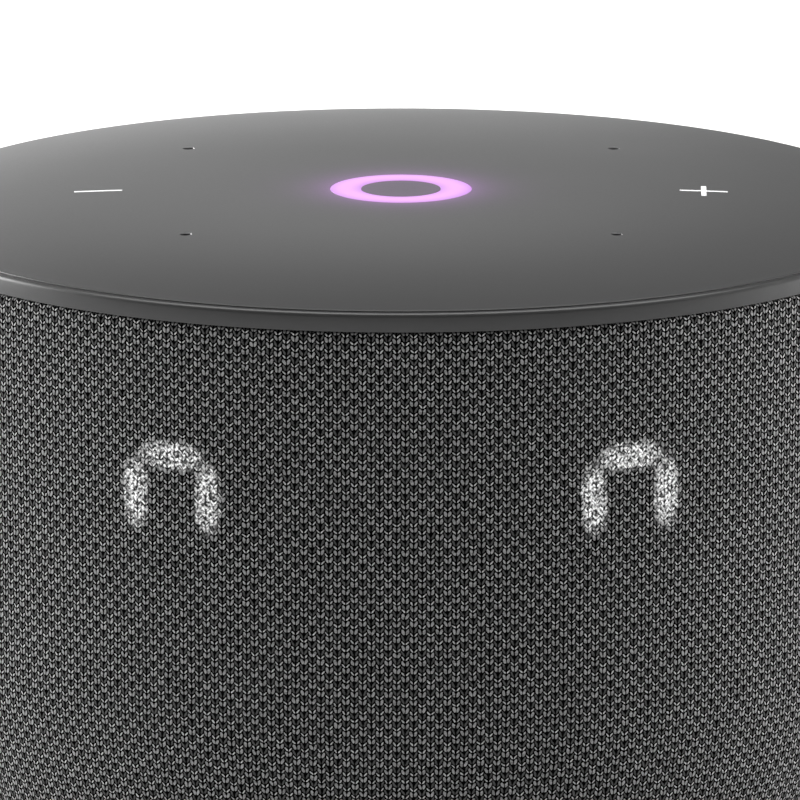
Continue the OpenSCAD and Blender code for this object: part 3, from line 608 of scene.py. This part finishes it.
# %% Window for the socket panel
window_low, window_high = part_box("port_panel")
rim = 2.0 * MM
gap = 0.1 * MM
window = (window_low.x + rim - gap, window_high.x - rim + gap, window_low.z + rim - gap, window_high.z - rim + gap)


def back_geometry(mesh):
    faces = [f for f in mesh.faces if f.calc_center_median().y > 0.6 * body_r]
    edges = {e for f in faces for e in f.edges}
    verts = {v for f in faces for v in f.verts}
    return list(verts) + list(edges) + faces


print("panel box", [round(v / MM, 2) for v in (*window_low, *window_high)])
for co, normal in (((window[0], 0, 0), (1, 0, 0)), ((window[1], 0, 0), (1, 0, 0)),
                   ((0, 0, window[2]), (0, 0, 1)), ((0, 0, window[3]), (0, 0, 1))):
    bmesh.ops.bisect_plane(knit_mesh, geom=back_geometry(knit_mesh), dist=1e-7, plane_co=co, plane_no=normal)
inside = []
for face in knit_mesh.faces:
    at = face.calc_center_median()
    if at.y > 0 and window[0] < at.x < window[1] and window[2] < at.z < window[3]:
        inside.append(face)
bmesh.ops.delete(knit_mesh, geom=inside, context="FACES")
rims = [e for e in knit_mesh.edges if e.is_boundary]
bmesh.ops.bridge_loops(knit_mesh, edges=rims)
print("window cut,", len(rims), "rim edges bridged")

# %% [markdown]
# ### The stitch formula
#
# Close up, one wale is a column of V shapes, and every V shows three things in turn: a plump light leaf of yarn, a
# thin dark leaf, and a small light slash where the loop turns over. The next wale has the same, half a period lower.
# Each of the three is a leaning ellipse. `leaf` measures how deep a point is inside it: 1 in the middle, 0 at its
# edge and negative outside. Folding the wale about its middle with `abs` draws both legs of the V at once.

# %% Shapes of the leaves of yarn
light_leaf = dict(across=0.205, down=0.0, long=0.300, wide=0.146, lean=20)
dark_leaf = dict(across=0.222, down=0.37, long=0.350, wide=0.104, lean=27)
slash = dict(across=0.212, down=0.677, long=0.230, wide=0.080, lean=40)


def leaf(across, along, shape):
    """How deep a point is inside a leaning ellipse. across is in mm, and along is the share of a period."""
    tilt = math.radians(shape["lean"])
    dx = across - shape["across"]
    dy = ((along - shape["down"] + 0.5).fract() - 0.5) * (course_pair / MM)
    lengthways = (dy * math.cos(tilt) - dx * math.sin(tilt)) / shape["long"]
    sideways = (dx * math.cos(tilt) + dy * math.sin(tilt)) / shape["wide"]
    return 1 - lengthways * lengthways - sideways * sideways


# %% [markdown]
# The clock's lamps shine through the knit from behind. Cloth spreads the light, so a bar of a figure shows as a
# soft lens, brightest in its middle, and broken up by the stitches and fibres in front of it. Only the upper bars
# of the first and the last figure are lit.

# %% Where the clock glows through
digit_low, digit_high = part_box("digit_1")
digit_z = (digit_low.z + digit_high.z) / 2 / MM
bar_up, bar_out, digit_at = 7.5, 3.85, 22.65
top_half_w, top_half_h = 2.95, 1.22
side_half_w, side_half_h = 1.20, 3.00
lit_bars = []
for digit_side in (-1, 1):
    middle_at = digit_side * digit_at
    lit_bars.append((middle_at, digit_z + bar_up, top_half_w, top_half_h))
    for bar_side in (-1, 1):
        lit_bars.append((middle_at + bar_side * bar_out, digit_z + bar_up / 2 - 0.1, side_half_w, side_half_h))
print("clock bars in mm:", [tuple(round(v, 2) for v in bar) for bar in lit_bars[:3]])


def lit_bar(across, height, bar):
    """1 inside a soft lens-shaped bar and 0 outside: (centre across, centre height, half width, half height)."""
    x, z, half_w, half_h = bar
    off = ((across - x) / half_w).abs() ** 2.4 + ((height - z) / half_h).abs() ** 2.4
    return 1 - off.ramp(0.2, 1.9)


# %% Knit finish
def knit_finish():
    finish = Finish("knit", Roughness=0.9, Specular_IOR_Level=0.0)
    split = finish.axes(finish.node("UVMap", {"uv_map": "stitches"}, ()))
    place = finish.place()
    wander = finish.noise(place, 1 / (2.2 * MM), 2)
    pull = finish.noise(place, 1 / (0.8 * MM), 1)
    wale_count = split[0] + (wander - 0.5) * 0.14 + (pull - 0.5) * 0.20
    period_count = split[1] + (wander - 0.5) * 0.08 - (pull - 0.5) * 0.14
    wale = wale_count.floor()
    along = period_count + wale.modulo(2) * 0.5
    across = (wale_count.fract() - 0.5) * (wale_w / MM)
    leg = finish.node("CombineXYZ", {}, [wale, (along * 3).floor(), across.sign()])
    chance = finish.node("TexWhiteNoise", {}, {"Vector": leg}, "Value")
    folded = across.abs() + (chance - 0.5) * 0.05
    plump = leaf(folded, along, light_leaf)
    thin = leaf(folded, along, dark_leaf)
    turn = leaf(folded, along, slash)
    fibre = finish.noise(place, 1 / (0.13 * MM), 2, 0.6)
    fuzz = (fibre - 0.5) * 0.9
    # The masks fade out towards each leaf's rim and leave the colour near black between the leaves: painted shade for
    # the hollows between the yarns and at the leaf edges.
    plump_mask = (plump + fuzz).ramp(0.0, 0.34)
    thin_mask = (thin + fuzz).ramp(0.0, 0.38)
    turn_mask = (turn + fuzz).ramp(0.0, 0.38)
    yarn_tone_and_gap_shade = thin_mask * dark_yarn
    yarn_tone_and_gap_shade = yarn_tone_and_gap_shade + (light_yarn - yarn_tone_and_gap_shade) * plump_mask
    yarn_tone_and_gap_shade = yarn_tone_and_gap_shade + (turned_yarn - yarn_tone_and_gap_shade) * turn_mask
    # Yarn tones with random variation, over a near-black floor that is painted shade in the gaps.
    yarn_tone_and_gap_shade = yarn_tone_and_gap_shade * (1.0 + (fibre - 0.5) * 1.3 + (chance - 0.5) * 0.45) + 0.0006
    finish.set("Base Color", finish.blend(yarn_tone_and_gap_shade, (0, 0, 0), (1.0, 0.998, 0.995)))
    thin_height = thin.at_least(0) ** 0.5 * 0.75
    turn_height = turn.at_least(0) ** 0.5 * 0.9
    height = (plump.at_least(0) ** 0.5).at_least(thin_height).at_least(turn_height)
    finish.bump(height + fibre * 0.15, 0.16, 0.5)
    arc_mm = (split[0] - wales / 2) * (wale_w / MM)
    height_mm = knit_top / MM - split[1] * (course_pair / MM)
    glow = None
    for bar in lit_bars:
        one = lit_bar(arc_mm + (chance - 0.5) * 0.35, height_mm + (pull - 0.5) * 0.8, bar)
        glow = one if glow is None else glow.at_least(one)
    speckle = finish.noise(place, 1 / (0.27 * MM), 1, 0.5)
    weave = (speckle - 0.5) * 3.4 + plump_mask * 0.22 + turn_mask * 0.40 + thin_mask * 0.10 + 0.22
    finish.set("Emission Color", finish.blend(glow * weave.at_least(0.02).at_most(1), (0, 0, 0), (1.0, 1.0, 1.0)))
    finish.set("Emission Strength", 1.0)
    return finish


dark_yarn, light_yarn, turned_yarn = 0.09, 0.29, 0.46
knit = finished("knitted_cover", knit_mesh, knit_finish(), "fabric_sleeve", sharp=50)

# %% [markdown]
# ## Foot and base
#
# Under the body a ring of soft rubber keeps the speaker from sliding and from buzzing against the table. Its lower
# face has three fine grooves. The base plate above it carries screws, which stay as they are in the frame.

# %% Foot
foot_in = 24 * MM
foot_round = 0.4 * MM
groove = 0.35 * MM
foot_profile = [(foot_in, foot_top)]
foot_profile += arc((foot_in + foot_round, table_z + foot_round), foot_round, 180, 270, 4)
for i in range(1, 4):
    at = foot_in + (foot_r - foot_in) * i / 4
    foot_profile += [(at - groove, table_z), (at - groove * 0.6, table_z + groove),
                     (at + groove * 0.6, table_z + groove), (at + groove, table_z)]
foot_profile += arc((foot_r - foot_round, table_z + foot_round), foot_round, 270, 360, 4)
foot_profile += [(foot_r, foot_top)]
soft_rubber = moulded("soft_rubber", (0.022, 0.022, 0.022), 0.75, grain=0.4, depth=0.02, sheen=0.15)
finished("rubber_foot", spun(foot_profile, 192), soft_rubber, "foot_ring")

# %% [markdown]
# ## Finishes for the pieces inside
#
# The inside is seen when the speaker is opened, so each part gets a finish of its kind: solder mask with copper
# tracks on the boards, turned and plated metal, pressed pulp for the cone, treated cloth for the spider.

# %% Boards, metals, cloths
def board_finish():
    finish = Finish("circuit_board", Roughness=0.35, Coat_Weight=0.4)
    place = finish.place()
    x, y, z = finish.axes(place)
    lane = 1.3 * MM
    lane_x, lane_y = (x / lane).floor(), (y / lane).floor()
    cell = finish.node("CombineXYZ", {}, [lane_x, lane_y, 0.0])
    turn = finish.node("TexWhiteNoise", {}, {"Vector": cell}, "Value")
    track_x = ((x / lane).fract() - 0.5).abs().ramp(0.10, 0.14)
    track_y = ((y / lane).fract() - 0.5).abs().ramp(0.10, 0.14)
    along_x = turn.ramp(0.49, 0.51)
    clear = track_x * along_x + track_y * (1 - along_x)
    finish.set("Base Color", finish.blend(clear, (0.035, 0.20, 0.09), (0.012, 0.10, 0.05)))
    finish.bump(1 - clear, 0.03, 0.4)
    return finish


def metal(name, colour, roughness, scratch=0.15):
    finish = Finish(name, Metallic=1.0)
    place = finish.place()
    lines = finish.noise(finish.node("Mapping", {}, {"Vector": place, "Scale": (1, 12, 1)}), 1 / (2 * MM), 3)
    finish.set("Roughness", roughness + (lines - 0.5) * scratch)
    finish.set("Base Color", finish.blend(lines, tuple(0.8 * c for c in colour), colour))
    finish.bump(lines, 0.01, 0.3)
    return finish


def cloth(name, dark, light, thread):
    finish = Finish(name, Roughness=0.9)
    x, y, z = finish.axes(finish.place())
    warp = (x / (thread * MM) * TAU).sin() * (y / (thread * MM) * TAU).sin() * 0.5 + 0.5
    pulp = finish.noise(finish.place(), 1 / (0.6 * MM), 3)
    finish.set("Base Color", finish.blend(warp * 0.5 + pulp * 0.5, dark, light))
    finish.bump(warp * 0.6 + pulp * 0.4, 0.05, 0.5)
    return finish


finishes = {
    "circuit_board": board_finish(),
    "bright_metal": metal("plated_steel", (0.62, 0.62, 0.63), 0.3),
    "aluminium": metal("aluminium", (0.72, 0.73, 0.75), 0.35),
    "copper_foil": metal("copper_foil", (0.85, 0.48, 0.28), 0.3),
    "copper_wire": metal("copper_wire", (0.72, 0.33, 0.16), 0.35, 0.3),
    "pressed_steel": moulded("painted_steel", (0.02, 0.02, 0.022), 0.35),
    "ferrite": moulded("ferrite", (0.045, 0.045, 0.048), 0.6, grain=0.15),
    "chip_black": moulded("chip_black", (0.018, 0.018, 0.019), 0.55, grain=0.1),
    "foam": moulded("foam", (0.03, 0.03, 0.03), 0.95, grain=0.5, depth=0.15),
    "rubber": soft_rubber,
    "black_plastic": black_plastic,
    "charcoal_plastic": panel_plastic,
    "white_plastic": moulded("white_plastic", (0.82, 0.82, 0.80), 0.45),
    "cable": moulded("flat_cable", (0.70, 0.70, 0.66), 0.35, grain=0.8),
    "paper_cone": cloth("paper_cone", (0.012, 0.012, 0.012), (0.03, 0.03, 0.03), 0.5),
    "spider_cloth": cloth("spider_cloth", (0.40, 0.26, 0.09), (0.62, 0.45, 0.2), 0.4),
    "slider_plastic": moulded("slider_plastic", (0.75, 0.16, 0.04), 0.4),
}
slot_of = {part["node"]: part["material_slot"] for part in frame["record"]["subparts"]}
dressed = 0
for node, thing in frame["nodes"].items():
    finish = finishes.get(slot_of[node])
    if finish and thing.material_slots:
        for holder in thing.material_slots:
            holder.material = finish.material
        dressed += 1
print("finishes given to", dressed, "CAD nodes")

# %% [markdown]
# ## Floor and light
#
# A pale sweep under soft light, as in a catalogue. Two wide panels stand at the sides, so the drum is brighter
# towards its edges than in front. A panel overhead lights the front of the floor, and another turns the backdrop
# white. Three lights are there for the gloss: a long strip overhead draws the thin line along the bezel, a low panel
# far behind lays a sheen on the far part of the top, and a small one close at the left makes that side the brightest.

# %% Floor
floor_mesh = bmesh.new()
bmesh.ops.create_grid(floor_mesh, x_segments=2, y_segments=2, size=40)
bmesh.ops.translate(floor_mesh, vec=(0, 0, table_z), verts=floor_mesh.verts)
floor_data = bpy.data.meshes.new("floor")
floor_mesh.to_mesh(floor_data)
floor_mesh.free()
floor = bpy.data.objects.new("floor", floor_data)
bpy.context.collection.objects.link(floor)
paper = Finish("pale_paper", Roughness=0.9, Specular_IOR_Level=0.1)
paper.set("Base Color", paper.blend(paper.noise(paper.place(), 30, 3), (0.88, 0.88, 0.88), (0.92, 0.92, 0.92)))
floor_data.materials.append(paper.material)


# %% Lights
def panel(name, place, target, size, power):
    light = bpy.data.lights.new(name, "AREA")
    light.shape, light.size, light.size_y, light.energy = "RECTANGLE", size[0], size[1], power
    lamp = bpy.data.objects.new(name, light)
    lamp.location = place
    lamp.rotation_euler = (Vector(target) - Vector(place)).to_track_quat("-Z", "Y").to_euler()
    lamp.visible_camera = False
    bpy.context.collection.objects.link(lamp)
    return lamp


middle = (0, 0, 0.04)
panel("left_panel", (-0.84, 0.30, 0.24), middle, (0.5, 0.5), 10.5)
right = panel("right_panel", (0.84, 0.30, 0.24), middle, (0.5, 0.5), 10)
right.visible_glossy = False
right_gloss = panel("right_gloss_panel", (0.84, 0.30, 0.24), middle, (0.5, 0.5), 7.5)
right_gloss.visible_diffuse = False
overhead = panel("overhead_panel", (0, -0.05, 1.05), middle, (0.45, 0.35), 3.6)
overhead.visible_glossy = False
edge_strip = panel("edge_strip", (0, 0, 1.05), middle, (1.9, 0.5), 16)
edge_strip.visible_diffuse = False
panel("near_left_panel", (-0.16, 0.22, 0.115), (-0.02, 0.02, 0.065), (0.14, 0.08), 0.9)
horizon = panel("horizon_panel", (-0.38, 1.2, 0.18), (0, 0, 0.06), (0.9, 0.25), 0.95)
horizon.visible_diffuse = False
backdrop = panel("backdrop_panel", (0, 0.75, 0.50), (0, 0.42, 0), (0.9, 0.4), 6.0)
backdrop.visible_glossy = False
world = bpy.data.worlds.new("studio")
world.use_nodes = True
world.node_tree.nodes["Background"].inputs["Color"].default_value = (1, 1, 1, 1)
world.node_tree.nodes["Background"].inputs["Strength"].default_value = 0.27
bpy.context.scene.world = world
bpy.context.scene.view_settings.view_transform = "Standard"
